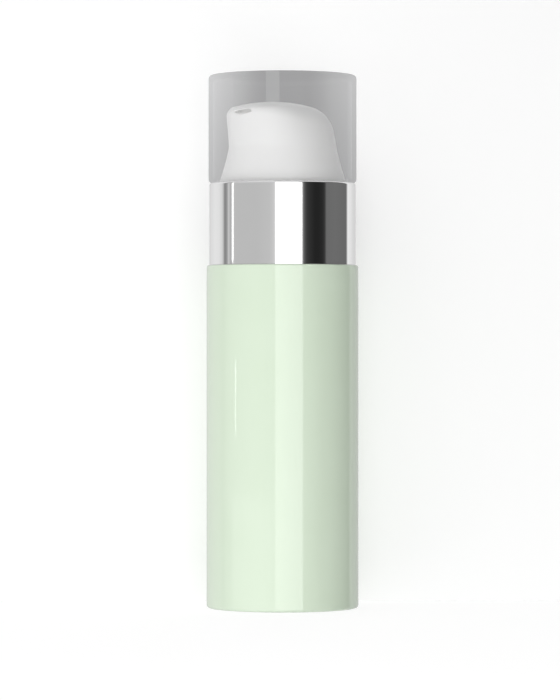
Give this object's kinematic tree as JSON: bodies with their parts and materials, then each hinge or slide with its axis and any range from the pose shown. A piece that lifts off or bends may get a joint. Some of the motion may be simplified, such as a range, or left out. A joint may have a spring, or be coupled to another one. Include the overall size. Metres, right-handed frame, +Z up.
{
  "type": "airless pump bottle",
  "caption": "Slim round airless pump bottle: pale green double-walled body, chrome collar, white beaked press head and a smoke-clear overcap.",
  "frame": {"origin": "centre of the foot ring, on the surface the bottle stands on", "axes": "+Z up along the bottle's axis, the nozzle points along -Y"},
  "size_m": [0.038, 0.038, 0.1331],
  "materials": {
    "green_shell": "gloss moulded",
    "chrome_ring": "mirror",
    "white_head": "satin gloss moulded",
    "white_inner": "moulded",
    "white_soft": "soft moulded",
    "soft_seal": "soft",
    "spring_steel": "drawn wire",
    "smoke_clear": "clear gloss"
  },
  "bodies": {
    "bottle": {"outer_bottle": "green_shell", "inner_bottle": "white_inner", "inner_base": "white_inner", "neck_gasket": "soft_seal", "closure_ring": "white_inner", "collar_shell": "chrome_ring", "pump_housing": "white_inner", "valve_cage": "white_inner", "stem_guide": "white_inner", "stem_seal": "soft_seal", "return_spring": "spring_steel"},
    "overcap": {"overcap": "smoke_clear"},
    "stem": {"pump_stem": "white_inner", "piston_core": "white_inner"},
    "head": {"actuator_shell": "white_head", "actuator_core": "white_inner", "nozzle_insert": "white_head"},
    "piston": {"pump_piston": "white_soft"},
    "inlet": {"inlet_valve": "white_soft"},
    "follower": {"follower_piston": "white_soft"}
  },
  "joints": [
    {"name": "cap_lift", "type": "slide", "parent": "bottle", "child": "overcap", "axis": [0, 0, 1], "range_m": [0, 0.03]},
    {"name": "head_press", "type": "slide", "parent": "bottle", "child": "stem", "axis": [0, 0, -1], "range_m": [0, 0.0045], "stiffness_N_per_m": 2000, "springref_m": -0.004, "deforming": ["return_spring"]},
    {"name": "head_swivel", "type": "hinge", "parent": "stem", "child": "head", "pos_m": [0, 0, 0.11], "axis": [0, 0, 1], "continuous": true},
    {"name": "piston_float", "type": "slide", "parent": "stem", "child": "piston", "axis": [0, 0, 1], "range_m": [0, 0.00075]},
    {"name": "inlet_lift", "type": "slide", "parent": "bottle", "child": "inlet", "axis": [0, 0, 1], "range_m": [0, 0.0008]},
    {"name": "follower_rise", "type": "slide", "parent": "bottle", "child": "follower", "axis": [0, 0, 1], "range_m": [0, 0.065]}
  ]
}
